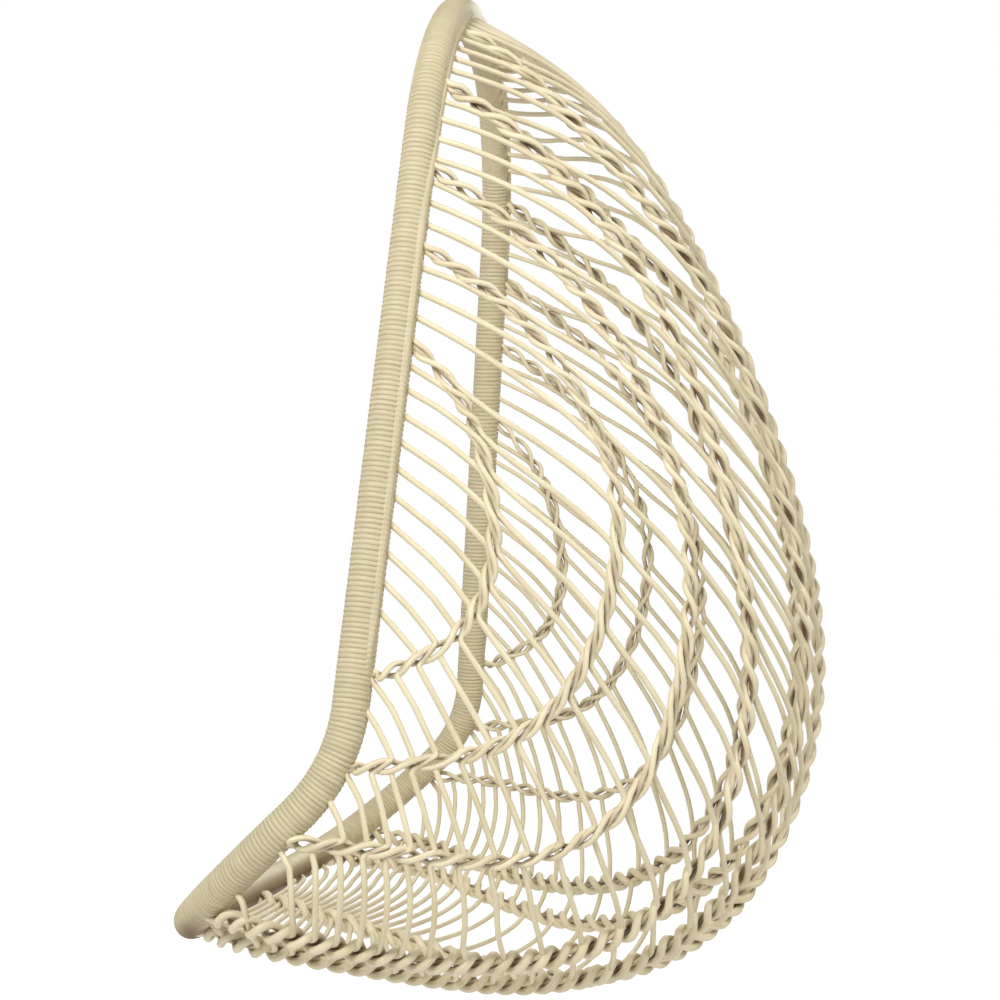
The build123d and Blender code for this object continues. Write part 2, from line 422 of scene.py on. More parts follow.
crest_share = 0.4
ridge_heads, ridge_feet = [], []
for number in range(1, ridge_count + 1):
    start, end = ridge_span(number)
    crest = start + crest_share * (end - start)
    ridge_heads.append(line_at(number, ridge_reach(number, start, crest)))
    ridge_feet.append(line_at(number, ridge_reach(number, end, crest)) - ridge_jog)


head_ease, spine_ease = 3, 12
steep_from, steep_over, steep_fade = 700, 260, 629
steep_rate, steep_start, steep_angle = 2.8, 10.0, 35.0


def strand_line(number):
    """Line of a strand on the rim, past the wider gaps where ridges end."""
    line = float(number)
    for foot in ridge_feet:
        if line >= foot:
            line += ridge_jog
    return line


def jog(number, line):
    """How far a ridge moves a line on."""
    head = ridge_heads[number - 1]
    if line <= head or line >= ridge_feet[number - 1]:
        return 0.0
    return ridge_jog * min((line - head) / head_ease, 1.0)


def spine_jog(line):
    """How far the spine moves a line on."""
    return ridge_jog * clipped(min(line, line_span - line) / spine_ease)


def hanging_run(line, angle):
    """Run of a line at an angle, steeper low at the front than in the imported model."""
    run = rim_run(line)
    low = clipped((run - steep_from) / steep_over) * min((rim_length - run) / steep_fade, 1.0)
    return leaning_run(line, angle) + steep_rate * low * np.clip(angle - steep_start, 0.0, steep_angle)


print("pitch at the crown", round(crown_pitch, 1), "mm; ridge heads", [round(h, 1) for h in ridge_heads])

# %% [markdown]
# Along each ridge lies a rope of two twisted canes. Its line is a little lower on the rim than the ridge
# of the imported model, so it goes through places of its own: pairs of run and angle, from its head on the
# rim to its foot. Places are simpler here than a formula for each of the five. A smooth line goes through
# the places, and each point on it is known by its length from the head.

# %% Lines of the ropes
rope_places = [
    [(606, 0), (604, 4.5), (612, 9), (652, 13.7), (705, 16.3), (760, 16.4), (832, 13.3), (884, 9.2),
     (936, 4), (960, 0)],
    [(500, 0), (496, 5), (490, 11), (492, 16.5), (513, 24.5), (560, 30), (612, 31.5), (668, 31.6),
     (724, 30.8), (792, 28.4), (840, 25.4), (920, 18.4), (1024, 5.2), (1056, 0)],
    [(413, 0), (409, 7.5), (407, 14), (410, 21), (432, 30.6), (484, 38), (568, 42.5), (636, 43.7),
     (700, 44.3), (768, 44), (820, 42.2), (912, 35.4), (976, 27.8), (1068, 14.2), (1116, 6), (1148, 0)],
    [(308, 0), (304, 9), (304, 18), (324, 32), (356, 41), (404, 46.3), (452, 49.3), (528, 52.5),
     (584, 55), (660, 57.6), (736, 59.6), (800, 60), (864, 58.8), (928, 56.2), (984, 53), (1060, 47.5),
     (1150, 36), (1230, 18), (1282, 0)],
    [(196, 0), (190, 9), (195, 20), (219, 33.5), (240, 45), (264, 57), (302, 66), (365, 71.5),
     (420, 72.3), (500, 72.2), (600, 72.3), (700, 72.8), (780, 72.3), (850, 70.8), (924, 68), (1010, 63),
     (1100, 56), (1200, 44), (1290, 28), (1336, 12), (1362, 0)],
]
degree_length = 7.0


def rope_line(places):
    """Lengths, runs and angles of close points along a rope."""
    line = smooth_line([(run, angle * degree_length, 0.0) for run, angle in places])
    runs, angles = line[:, 0], np.maximum(line[:, 1] / degree_length, 0.0)
    return lengths(np.array([shell(run, angle) for run, angle in zip(runs, angles)])), runs, angles


ropes = {number: rope_line(places) for number, places in enumerate(rope_places, 1)}


def rope_place(number, reach):
    """Run and angle at a length along a rope."""
    reaches, runs, angles = ropes[number]
    return float(np.interp(reach, reaches, runs)), float(np.interp(reach, reaches, angles))


def meeting(number, line):
    """Length along a rope where a line crosses it, or None where it passes by."""
    reaches, runs, angles = ropes[number]
    ahead = hanging_run(line, angles) - runs
    past = np.nonzero(ahead <= 0)[0]
    if len(past) == 0 or past[0] == 0:
        return None
    i = past[0]
    share = ahead[i - 1] / (ahead[i - 1] - ahead[i])
    return reaches[i - 1] + share * (reaches[i] - reaches[i - 1])


print("ropes:", {number: round(reaches[-1]) for number, (reaches, _, _) in ropes.items()}, "mm")

# %% [markdown]
# At a rope a strand comes up to the edge that faces the rim, turns a little towards the lip inside the
# rope and leaves at the edge that faces the spine. Where it meets the rope is worked out and not drawn,
# so that the two stay together when one of them is moved.

# %% Places on a rope
strand_radius = 3.1
ridge_half_width = 5.0
ridge_lift, lift_range = 0.6, (0.8, 1.2)
ridge_course = [(0.0, -1.0, 0.0), (0.25, -0.6, 1.0), (0.5, 0.0, 0.0), (0.75, 0.6, -1.0), (1.0, 1.0, 0.0)]
least_jog, short_reach = 0.3, 26.0
solve_rounds, just_before = 60, 0.0001


def rope_frame(number, reach):
    """Middle of a rope at a length, and the directions out of the basket and to the spine."""
    run, angle = rope_place(number, reach)
    middle = shell(run, angle)
    on = unit(shell(*rope_place(number, reach + 2)) - shell(*rope_place(number, reach - 2)))
    out = outward(run, max(angle, 3.0))
    return middle, out, unit(np.cross(out, on))


def on_rope(number, reach, side, lift):
    """Point of a rope: side -1 is its rim edge, +1 its spine edge; lift is outwards."""
    middle, out, across = rope_frame(number, reach)
    return middle + across * (side * ridge_half_width) + out * lift


def half_stops(line, inwards):
    """The ropes that half a strand meets, with its lines and places there, and its last line."""
    order = range(1, ridge_count + 1) if inwards else range(ridge_count, 0, -1)
    stops = []
    for number in order:
        enter, leave, foot = line, line, ridge_feet[number - 1]
        if inwards:
            leave = line + jog(number, line)
        elif line < foot + ridge_jog:
            for _ in range(solve_rounds):
                enter = (enter + leave - jog(number, min(enter, foot - just_before))) / 2
        first, last = meeting(number, enter), meeting(number, leave)
        if leave - enter > least_jog and first is not None:
            last = last or min(first + short_reach, ropes[number][0][-1])
            stops.append((number, enter, leave, first, last))
        line = leave if inwards else enter
    return stops, line


stops, last_line = half_stops(strand_line(20), True)
print("strand 21 meets", len(stops), "ropes and ends", round(last_line - 20, 1), "lines further on")

# %% [markdown]
# Between two ropes a strand lies on the basket in one easy sweep. Its ends run into the back of the rim,
# under the winding. They could stop at the surface of the winding, but an end that goes in leaves no gap
# from any side.

# %% The sweep of a strand and its ends
sweep_step = 2.5
rope_gap, near_spine = 2.4, 88.0
most_slant = 1.2
end_course = ((0, 22.0, 0.0), (3, 18.0, 0.3), (6, 14.0, 0.6), (8, 10.0, 1.0))


def plain_run(from_line, to_line, first, last, points):
    """Close points on the basket between two angles, ends left out."""
    count = max(2, round(abs(last - first) / sweep_step))
    for i in range(1, count):
        share = i / count
        angle = first + (last - first) * share
        points.append(shell(hanging_run(from_line + (to_line - from_line) * share, angle), angle))


def half_path(line, inwards, dice):
    """Close points of half a strand, from the rim inwards or from the spine outwards."""
    stops, last_line = half_stops(line, inwards)
    points = []
    current = line
    here, end, gap = (0.0, near_spine, rope_gap) if inwards else (near_spine, 0.0, -rope_gap)
    course = ridge_course if inwards else ridge_course[::-1]
    for number, enter, leave, first, last in stops:
        arrive, depart = (enter, leave) if inwards else (leave, enter)
        top = rope_place(number, first if inwards else last)[1]
        if (top - gap - here) * gap > 0:
            plain_run(current, arrive, here, top - gap, points)
        lift = ridge_lift * dice.uniform(*lift_range)
        for place, swing, height in course:
            points.append(on_rope(number, first + (last - first) * place, swing, lift * height))
        current = depart
        here = rope_place(number, last if inwards else first)[1] + gap
    plain_run(current, last_line, here, end, points)
    return points, last_line


def rim_frame(run, towards):
    """Middle of the rim at a run, directions along it, to a point and out, and the slant of that way."""
    middle = shell(run, 0)
    on = unit(shell(run + 3, 0) - shell(run - 3, 0))
    leave = towards - middle
    slant = leave @ on
    leave -= on * slant
    slant /= norm(leave)
    leave = unit(leave)
    out = outward(run, 4.0)
    return middle, on, leave, unit(out - leave * (out @ leave) - on * (out @ on)), slant


def rim_end(run, towards):
    """Points of a cane's end, from the back of the rim to inside it."""
    middle, on, leave, side, slant = rim_frame(run, towards)
    slant = min(max(slant, -most_slant), most_slant)
    points = []
    for turn, radius, back in end_course:
        a = math.radians(turn)
        points.append(middle + (leave * math.cos(a) + side * math.sin(a)) * radius
                      + on * (slant * radius * math.cos(a) - back))
    return points


print("a strand's end in the rim:", len(rim_end(rim_run(20), shell(rim_run(20), 6))), "points")

# %% [markdown]
# The near half, a crossing on the spine and the far half, which is mirrored, make one path. A cane can't
# turn a sharp corner, so the corners are rounded by a weighted mean of close points, much as bending
# would round them. Where the path is nearly straight it keeps few points, which saves faces.

# %% The path of one strand
spine_half_width = 6.0
spine_lift = 0.6
spine_clearance = spine_half_width + 5
strand_clearance = 28
strand_bend = 3.6
smooth_step = 2.0
least_bend, longest_step = 0.16, 14
first_seed = 100
spine_angle, beside_spine = 90, 87


def smoothed(points, spread):
    """Close points of a path with its corners rounded over a spread in millimetres."""
    line = evenly(np.array(points), smooth_step)
    reach = int(3 * spread / smooth_step)
    weight = np.exp(-0.5 * (np.arange(-reach, reach + 1) * smooth_step / spread) ** 2)
    weight /= weight.sum()
    wide = np.vstack([2 * line[0] - line[reach:0:-1], line, 2 * line[-1] - line[-2:-reach - 2:-1]])
    return np.stack([np.convolve(wide[:, k], weight, "valid") for k in range(3)], 1)


def thinned(line):
    """Fewer points where a path is nearly straight: close ones only in its bends."""
    kept = [0]
    for i in range(1, len(line) - 1):
        a, b, c = line[kept[-1]], line[i], line[min(i + 2, len(line) - 1)]
        u, v = b - a, c - b
        bend = norm(np.cross(u, v)) / (norm(u) * norm(v) + 1e-9)
        if bend > least_bend or norm(u) > longest_step:
            kept.append(i)
    kept.append(len(line) - 1)
    return line[kept]


def flipped(points, mirror=-1.0):
    """Points mirrored to the left side, or as they are with a mirror of 1."""
    return points * np.array((mirror, 1.0, 1.0))


def with_end(points, run):
    """A half of a strand, from the rim to the spine: clear of both, with its end in the rim before it."""
    rim = shell(run, 0)
    while len(points) > 2 and norm(points[0] - rim) < strand_clearance:
        points.pop(0)
    end = rim_end(run, points[0])[::-1]
    while len(points) > 2 and points[-1][0] < spine_clearance:
        points.pop()
    return end + points


def strand_path(number):
    """The whole path of one strand, from the right side of the rim to the left."""
    dice = random.Random(first_seed + number)
    line = strand_line(number)
    near, spine_at = half_path(line, True, dice)
    far_line = spine_at + spine_jog(spine_at)
    far, far_rim_line = half_path(far_line, False, dice)
    near = with_end(near, rim_run(line))
    far = with_end(far[::-1], rim_run(far_rim_line))[::-1]
    middle = []
    for place, swing, height in ridge_course:
        run = hanging_run(spine_at + (far_line - spine_at) * place, spine_angle)
        out = outward(run, beside_spine)
        out[0] = 0.0
        across = np.array((swing * spine_half_width, 0.0, 0.0))
        middle.append(shell(run, spine_angle) - across + out * (spine_lift * height))
    return thinned(smoothed(near + middle + [flipped(p) for p in far], strand_bend))


sample = strand_path(20)
print("one strand:", len(sample), "points,", round(lengths(sample)[-1]), "mm long")

# %% [markdown]
# A rope is two canes that twist round each other: at every strand one is outside and the other inside. An
# even twist would be simpler, but the real canes change places between two strands. So the twist is tied
# to the places where the strands cross, with half a turn from each to the next. Under the seat the ropes
# carry more: there they are thicker, and the twist is tighter.

# %% How the ropes twist
least_half_turn, usual_half_turn, most_half_turn = 26.0, 34.0, 46.0
seat_heights, seat_half_turns = (-1010.0, -900.0), (21.0, 36.0)
swell_from, swell_over = -950.0, 90.0
strand_lag, foot_look = 10.0, 30.0


def spaced(reaches):
    """Places in order, none too close for half a turn, with more in a long gap."""
    kept = []
    for reach in sorted(reaches):
        if kept and reach - kept[-1] > most_half_turn:
            parts = round((reach - kept[-1]) / usual_half_turn)
            kept.extend(np.linspace(kept[-1], reach, parts + 1)[1:])
        elif not kept or reach - kept[-1] >= least_half_turn:
            kept.append(reach)
    return kept


def tightened(places, frame_at, end):
    """The same places down to the seat, and from there on a shorter and shorter pace."""
    places = [reach for reach in places if frame_at(reach)[0][2] > seat_heights[1]]
    while places[-1] < end and frame_at(end - foot_look)[0][2] < seat_heights[1]:
        height = frame_at(places[-1])[0][2]
        places.append(places[-1] + float(np.interp(height, seat_heights, seat_half_turns)))
    return places


def rope_crossings(number):
    """Lengths along a rope where the strands of the right side cross it."""
    reaches = []
    for k in range(strand_count):
        line = strand_line(k)
        for stop in range(1, number):
            line += jog(stop, line)
        reach = meeting(number, line)
        if reach is not None:
            reaches.append(reach + strand_lag)
    return tightened(spaced(reaches), lambda reach: rope_frame(number, reach), ropes[number][0][-1])


def twist_turns(reaches, at):
    """Turn of the twist at a length: half a turn from place to place, also past the ends."""
    turns = np.arange(len(reaches)) * math.pi
    first, last = reaches[1] - reaches[0], reaches[-1] - reaches[-2]
    if at < reaches[0]:
        return -math.pi * (reaches[0] - at) / first
    if at > reaches[-1]:
        return turns[-1] + math.pi * (at - reaches[-1]) / last
    return float(np.interp(at, reaches, turns))


def swell(height, gain):
    """How much thicker a rope is at a height in millimetres: under the seat it carries more."""
    return 1.0 + gain * clipped((swell_from - height) / swell_over)


print("half turns on the ropes:", [len(rope_crossings(number)) for number in ropes])

# %% [markdown]
# The two canes are drawn round the middle of the rope, and their ends go into the rim like those of the
# strands. A Screw modifier would make a helix of one pace. This rope bends on the basket and its pace
# changes, so its points are worked out. The same kind of pair runs down the spine.

# %% The twisted pairs
# radius of a cane, half width, lift and gain under the seat
rope_sizes = {1: (3.0, 5.6, 5.2, 0.0), 2: (3.0, 5.6, 5.2, 0.0), 3: (3.1, 5.8, 5.3, 0.1),
              4: (3.5, 6.4, 5.8, 0.35), 5: (3.5, 6.6, 5.4, 0.3), "spine": (3.5, 6.8, 4.8, 0.4)}
twist_step = 1.6
head_fade, foot_fade, least_fade = 50, 25, 0.3
rope_margin, spine_margins = 4.0, (10.0, 8.0)
rope_clearance, rope_spread, foot_approach = 26, 8, 36.0
rope_bend = 2.4


def twisted_pair(which, reaches, first, last, frame_at):
    """Paths of the two canes of a rope, which twist along a line on the basket."""
    _, half_width, lift, gain = rope_sizes[which]
    pair = ([], [])
    for reach in np.linspace(first, last, round((last - first) / twist_step)):
        middle, out, across = frame_at(reach)
        turn = twist_turns(reaches, reach)
        fade = min((reach - first) / head_fade + least_fade, (last - reach) / foot_fade + least_fade, 1.0)
        fade *= swell(middle[2], gain)
        for k in range(2):
            t = turn + math.pi * k
            away = across * (half_width * math.sin(t)) + out * (lift * math.cos(t))
            pair[k].append(middle + away * fade)
    return pair


def ridge_pair(number):
    """The two canes of one rope on the right side, with their ends in the rim."""
    start, end = rope_places[number - 1][0][0], rope_places[number - 1][-1][0]
    length = ropes[number][0][-1]
    pair = twisted_pair(number, rope_crossings(number), rope_margin, length - rope_margin,
                        lambda reach: rope_frame(number, reach))
    at_head, at_foot = shell(start, 0), shell(end, 0)
    before_foot = shell(*rope_place(number, length - foot_approach))
    paths = []
    for k, points in enumerate(pair):
        body = [p for p in points if min(norm(p - at_head), norm(p - at_foot)) > rope_clearance]
        shift = rope_spread * (k - 0.5)
        head = rim_end(start + shift, body[0])[::-1]
        foot = rim_end(end + shift, before_foot)
        paths.append(thinned(smoothed(head + body + foot, rope_bend)))
    return paths


spine_reaches = lengths(spine_line)


def spine_frame(reach):
    """Middle of the spine at a length, with the directions out of the basket and across."""
    middle, before, after = (np.array([np.interp(at, spine_reaches, spine_line[:, k]) for k in range(3)])
                             for at in (reach, reach - 3, reach + 3))
    across = np.array((1.0, 0.0, 0.0))
    return middle, np.cross(across, unit(after - before)), across


def spine_pair():
    """The two canes that run down the spine from the crown to the lip."""
    reaches = []
    for k in range(strand_count):
        line = half_stops(strand_line(k), True)[1]
        share = hanging_run(line + spine_jog(line) / 2, spine_angle) / rim_length
        reaches.append((1 - (1 - share) ** hoop_fan) * spine_reaches[-1])
    reaches = tightened(spaced(reaches), spine_frame, spine_reaches[-1])
    first, last = spine_margins[0], spine_reaches[-1] - spine_margins[1]
    pair = twisted_pair("spine", reaches, first, last, spine_frame)
    return [thinned(smoothed(points, rope_bend)) for points in pair]


pairs = {number: ridge_pair(number) for number in range(1, ridge_count + 1)}
pairs["spine"] = spine_pair()
print("twisted pairs:", {which: round(lengths(paths[0])[-1]) for which, paths in pairs.items()}, "mm")

# %% [markdown]
# Strand and binding are the same cream stuff, a smooth round cane with fine lines along it. On Object
# coordinates the lines would run straight on through every bend, so the grain reads an attribute of the
# piece, the place round the cane and along it. One node group makes the lines and the slow change of
# tone, and each material uses it with its own colours.

# %% The cane's grain as a node group
grain = bpy.data.node_groups.new("cane_grain", "ShaderNodeTree")
for name, kind in (("Place", "NodeSocketVector"), ("Fine", "NodeSocketFloat"), ("Slow", "NodeSocketFloat")):
    grain.interface.new_socket(name, in_out="INPUT", socket_type=kind)
for name in ("Lines", "Tone"):
    grain.interface.new_socket(name, in_out="OUTPUT", socket_type="NodeSocketFloat")
grain_in = grain.nodes.new("NodeGroupInput")
grain_out = grain.nodes.new("NodeGroupOutput")
stretch = new_node(grain, "VectorMath", {1: (1.0, 1.0, 0.03)}, operation="MULTIPLY")
fine = new_node(grain, "TexNoise", {"Detail": 3.0})
slow = new_node(grain, "TexNoise", {"Detail": 2.0})
link_up(grain,
        (grain_in, "Place", stretch, 0),
        (stretch, 0, fine, "Vector"),
        (grain_in, "Fine", fine, "Scale"),
        (grain_in, "Place", slow, "Vector"),
        (grain_in, "Slow", slow, "Scale"),
        (fine, "Fac", grain_out, "Lines"),
        (slow, "Fac", grain_out, "Tone"))
print("grain group has", len(grain.nodes), "nodes")

# %% [markdown]
# A finish is built from the group: the slow tone blends a darker and a lighter cream, and the fine lines
# darken it a little, raise a faint bump and change the roughness. A second attribute tells where shade
# is painted into the colour, a darker brown: in the creases of the ropes, where two canes press on each
# other, and on the underside of the lip. Colours are given as they look on a screen.

# %% Finishes
def screen(red, green, blue):
    """A colour as seen on a screen, 0 to 255, as the linear values that Blender uses."""
    parts = [c / 255 for c in (red, green, blue)]
    return tuple(((c + 0.055) / 1.055) ** 2.4 for c in parts) + (1.0,)


def ramp(tree, first, low, last, high):
    """A colour ramp from one colour to another, between two places."""
    made = new_node(tree, "ValToRGB")
    for stop, place, colour in zip(made.color_ramp.elements, (first, last), (low, high)):
        stop.position = place
        stop.color = colour
    return made


# painted shade: a dark brown mixed into the cane where shade falls, in the creases of the ropes and under
# the lip
painted_shade_brown = screen(104, 74, 40)
line_shade, line_share = (0.72, 0.68, 0.60, 1.0), 0.55
bump_strength = 0.35
tone_from, tone_to, line_from, line_to = 0.3, 0.7, 0.25, 0.55
rougher, smoother = 0.1, 0.06


def cane_finish(name, dark, light, fine_scale, slow_scale, bump_height, rough):
    """A material for cane, from its two tones and the scale of its grain."""
    made, tree, shader = new_finish(name)
    place = new_node(tree, "Attribute", attribute_name="cane")
    group = new_node(tree, "Group", {"Fine": fine_scale, "Slow": slow_scale}, node_tree=grain)
    tones = ramp(tree, tone_from, dark, tone_to, light)
    lines = ramp(tree, line_from, line_shade, line_to, white)
    mixed = new_node(tree, "Mix", {"Factor": line_share}, data_type="RGBA", blend_type="MULTIPLY")
    # painted shade: this attribute mixes the dark brown into the colour
    painted_shade = new_node(tree, "Attribute", attribute_name="painted_shade")
    shaded_colour = new_node(tree, "Mix", {"B": painted_shade_brown}, data_type="RGBA")
    gloss = new_node(tree, "MapRange", {"To Min": rough + rougher, "To Max": rough - smoother})
    bump = new_node(tree, "Bump", {"Strength": bump_strength, "Distance": bump_height})
    link_up(tree,
            (place, "Vector", group, "Place"),
            (group, "Tone", tones, "Fac"),
            (group, "Lines", lines, "Fac"),
            (tones, "Color", mixed, "A"),
            (lines, "Color", mixed, "B"),
            (painted_shade, "Fac", shaded_colour, "Factor"),
            (mixed, "Result", shaded_colour, "A"),
            (shaded_colour, "Result", shader, "Base Color"),
            (group, "Lines", gloss, "Value"),
            (gloss, "Result", shader, "Roughness"),
            (group, "Lines", bump, "Height"),
            (bump, "Normal", shader, "Normal"))
    return made


strand_finish = cane_finish("cream_cane", screen(211, 198, 162), screen(231, 220, 189),
                            900.0, 9.0, 0.0006, 0.46)
turn_finish = cane_finish("cream_binding", screen(192, 180, 146), screen(204, 192, 158),
                          700.0, 14.0, 0.0005, 0.5)
print("finishes:", strand_finish.name, turn_finish.name)

# %% [markdown]
# A cane could be a cylinder that a curve modifier bends. A curve with a round bevel is simpler: made a
# mesh, it has one ring of vertices for each point of the path, so the attribute for the grain is filled
# in ring by ring. How much shade is painted on a place comes from its distance to the middle of the
# nearest rope.

# %% Make a cane from a path
# how much painted shade each rope gets in its creases, and how far from its middle it reaches
crease_shade_depth = [0.5, 0.55, 0.65, 0.9, 0.9, 0.9]
crease_shade_reach, crease_shade_edge = 5.6, 3.0
grain_shift = 7.3
rope_middles = [shell(run, angle) for _, runs, angles in ropes.values() for run, angle in zip(runs, angles)]
rope_middles += list(spine_line)
shade_tree = KDTree(len(rope_middles))
for i, point in enumerate(rope_middles):
    shade_tree.insert(point, i)
shade_tree.balance()


def crease_shade_at(point):
    """How much shade is painted on a point: most at the core of the nearest rope, 0 on its outside."""
    _, index, gap = shade_tree.find((abs(point[0]), point[1], point[2]))
    depth = crease_shade_depth[min(index // smooth_points, ridge_count)]
    return depth * clipped((crease_shade_reach - gap) / crease_shade_edge)


def poly_curve(name, paths):
    """A curve in the scene through the points of paths in millimetres."""
    data = bpy.data.curves.new(name, "CURVE")
    data.dimensions = "3D"
    for path in paths:
        spline = data.splines.new("POLY")
        spline.points.add(len(path) - 1)
        spline.points.foreach_set("co", np.c_[path * 0.001, np.ones(len(path))].ravel())
    made = bpy.data.objects.new(name, data)
    bpy.context.scene.collection.objects.link(made)
    return made


def cane(name, paths, radius, finish, sides=8, radii=None, crease_shaded=False):
    """A mesh piece of round canes along paths in millimetres."""
    piece = poly_curve(name, paths)
    piece.data.bevel_depth = radius * 0.001
    piece.data.bevel_resolution = sides // 2 - 2
    for k, spline in enumerate(piece.data.splines):
        if radii is not None:
            spline.points.foreach_set("radius", np.asarray(radii[k], float))
        spline.use_smooth = True
    bpy.ops.object.select_all(action="DESELECT")
    bpy.context.view_layer.objects.active = piece
    piece.select_set(True)
    bpy.ops.object.convert(target="MESH")
    piece = bpy.context.object
    mesh = piece.data
    rings = sum(len(p) for p in paths)
    around = len(mesh.vertices) // rings
    place = mesh.attributes.new("cane", "FLOAT_VECTOR", "POINT")
    turn = np.tile(np.arange(around) * 2 * math.pi / around, rings)
    shift = sum(ord(c) for c in name)
    reach = np.concatenate([lengths(p) * 0.001 + grain_shift * (k + 1) + shift for k, p in enumerate(paths)])
    values = np.stack([np.cos(turn) * radius * 0.001, np.sin(turn) * radius * 0.001,
                       np.repeat(reach, around)], 1)
    place.data.foreach_set("vector", values.astype(np.float32).ravel())
    # painted shade in the creases of the ropes
    if crease_shaded:
        painted_shade = mesh.attributes.new("painted_shade", "FLOAT", "POINT")
        painted_shade.data.foreach_set("value", [crease_shade_at(vertex.co * 1000) for vertex in mesh.vertices])
    mesh.materials.clear()
    mesh.materials.append(finish)
    bpy.ops.object.shade_smooth()
    bpy.ops.object.mode_set(mode="EDIT")
    bpy.ops.mesh.select_all(action="SELECT")
    bpy.ops.mesh.fill_holes(sides=0)
    bpy.ops.mesh.normals_make_consistent(inside=False)
    bpy.ops.object.mode_set(mode="OBJECT")
    return piece


print("places of the creases:", len(rope_middles))

# %% [markdown]
# The 48 strands are one piece each, from rim to rim, like a real cane. Each takes the place of its square
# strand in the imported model.

# %% The strands
strand_pieces = []
for number in range(strand_count):
    piece = cane(f"woven_strand_{number + 1:02d}", [strand_path(number)], strand_radius, strand_finish,
                 crease_shaded=True)
    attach(piece, "root")
    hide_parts(f"strand_{number + 1:02d}")
    strand_pieces.append(piece)
print("strands:", len(strand_pieces), "pieces,", sum(len(p.data.polygons) for p in strand_pieces), "faces")

# %% [markdown]
# The two canes of a rope are one piece, because they always go together. The ropes of the left side are
# those of the right side mirrored, each with its own mesh.

# %% The ropes
def rope(name, which, mirror):
    """A piece of two twisted canes that swell under the seat."""
    radius, _, _, gain = rope_sizes[which]
    radii = [[swell(p[2], gain) for p in path] for path in pairs[which]]
    paths = [flipped(path, mirror) for path in pairs[which]]
    return cane(name, paths, radius, strand_finish, radii=radii, crease_shaded=True)


pair_pieces = []
for number in range(1, ridge_count + 1):
    for side, mirror in (("right", 1.0), ("left", -1.0)):
        pair_pieces.append(rope(f"ridge_pair_{side}_{number}", number, mirror))
pair_pieces.append(rope("spine_pair", "spine", 1.0))
for piece in pair_pieces:
    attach(piece, "root")
print("twisted pairs:", len(pair_pieces), "pieces,", sum(len(p.data.polygons) for p in pair_pieces), "faces")

# %% [markdown]
# The rim is wound with flattened cane, turn by turn. A bump could suggest the turns, but they show on the
# outline, so each is modelled. One turn is a torus, widened along the rim. An array repeats it in a
# straight row, each turn is nudged a little so that no two are alike, and a curve modifier bends the row
# along the rim, so that every turn stays about square to the tube.

# %% The row of turns
binding_radius = 18.8
crown_reach, lip_reach, end_gap = 150.0, 120.0, 2.0
upper_pitch, lower_pitch = 5.3, 4.5
knee_run, knee_length = 850, 200
turn_half, turn_length = 1.45, 0.115
row_step = 0.006
ring_sides, cross_sides = 28, 6
turn_tilt = 2.0
width_range, tilt_range, full_range = (1.10, 1.18), (-1.2, 1.2), (0.992, 1.008)


def turn_places():
    """Where the turns sit along the rim, with their pitch: closer round the knee and the lip."""
    places = []
    run = crown_reach + end_gap
    while run < rim_length - lip_reach - end_gap:
        share = clipped((run - knee_run) / knee_length)
        places.append((run, upper_pitch + (lower_pitch - upper_pitch) * share))
        run += places[-1][1]
    return places


def turn_row(name, places, dice):
    """A straight row of turns, no two alike, with the place for the grain at each vertex."""
    ring_radius = (binding_radius - turn_half) * 0.001
    bpy.ops.object.select_all(action="DESELECT")
    bpy.ops.mesh.primitive_torus_add(major_radius=ring_radius, minor_radius=turn_half * 0.001,
                                     major_segments=ring_sides, minor_segments=cross_sides,
                                     rotation=(0.0, math.pi / 2, 0.0))
    side = bpy.context.object
    side.name = name
    bpy.ops.object.transform_apply(location=True, rotation=True, scale=True)
    row = side.modifiers.new("row", "ARRAY")
    row.count = len(places)
    row.use_relative_offset = False
    row.use_constant_offset = True
    row.constant_offset_displace = (row_step, 0.0, 0.0)
    bpy.ops.object.modifier_apply(modifier="row")
    mesh = side.data
    co = np.empty(len(mesh.vertices) * 3)
    mesh.vertices.foreach_get("co", co)
    co = co.reshape(len(places), -1, 3)
    local = np.empty_like(co)
    for k, (run, pitch) in enumerate(places):
        ring = co[k] - np.array((row_step * k, 0.0, 0.0))
        local[k] = ring
        wide = pitch / (2 * turn_half) * dice.uniform(*width_range)
        tilt = math.radians(dice.uniform(*tilt_range) + turn_tilt)
        fuller = dice.uniform(*full_range)
        co[k, :, 0] = run * 0.001 + ring[:, 0] * wide + ring[:, 1] * math.tan(tilt)
        co[k, :, 1:] = ring[:, 1:] * fuller
    place = mesh.attributes.new("cane", "FLOAT_VECTOR", "POINT")
    angle = np.arctan2(local[:, :, 2], local[:, :, 1])
    turn = np.repeat(np.arange(len(places))[:, None], local.shape[1], 1)
    lift = np.hypot(local[:, :, 1], local[:, :, 2]) - ring_radius
    values = np.stack([local[:, :, 0], lift, (turn + angle / (2 * math.pi)) * turn_length], 2)
    place.data.foreach_set("vector", values.astype(np.float32).ravel())
    mesh.vertices.foreach_set("co", co.ravel())
    return side


def bend_along_rim(side, mirror):
    """Bend a straight row along one side of the rim."""
    guide = poly_curve(side.name + "_guide", [flipped(rim_line, mirror)])
    bend = side.modifiers.new("bend", "CURVE")
    bend.object = guide
    bend.deform_axis = "POS_X"
    bpy.context.view_layer.objects.active = side
    bpy.ops.object.modifier_apply(modifier="bend")
    bpy.data.objects.remove(guide)


print("turns on a side:", len(turn_places()))
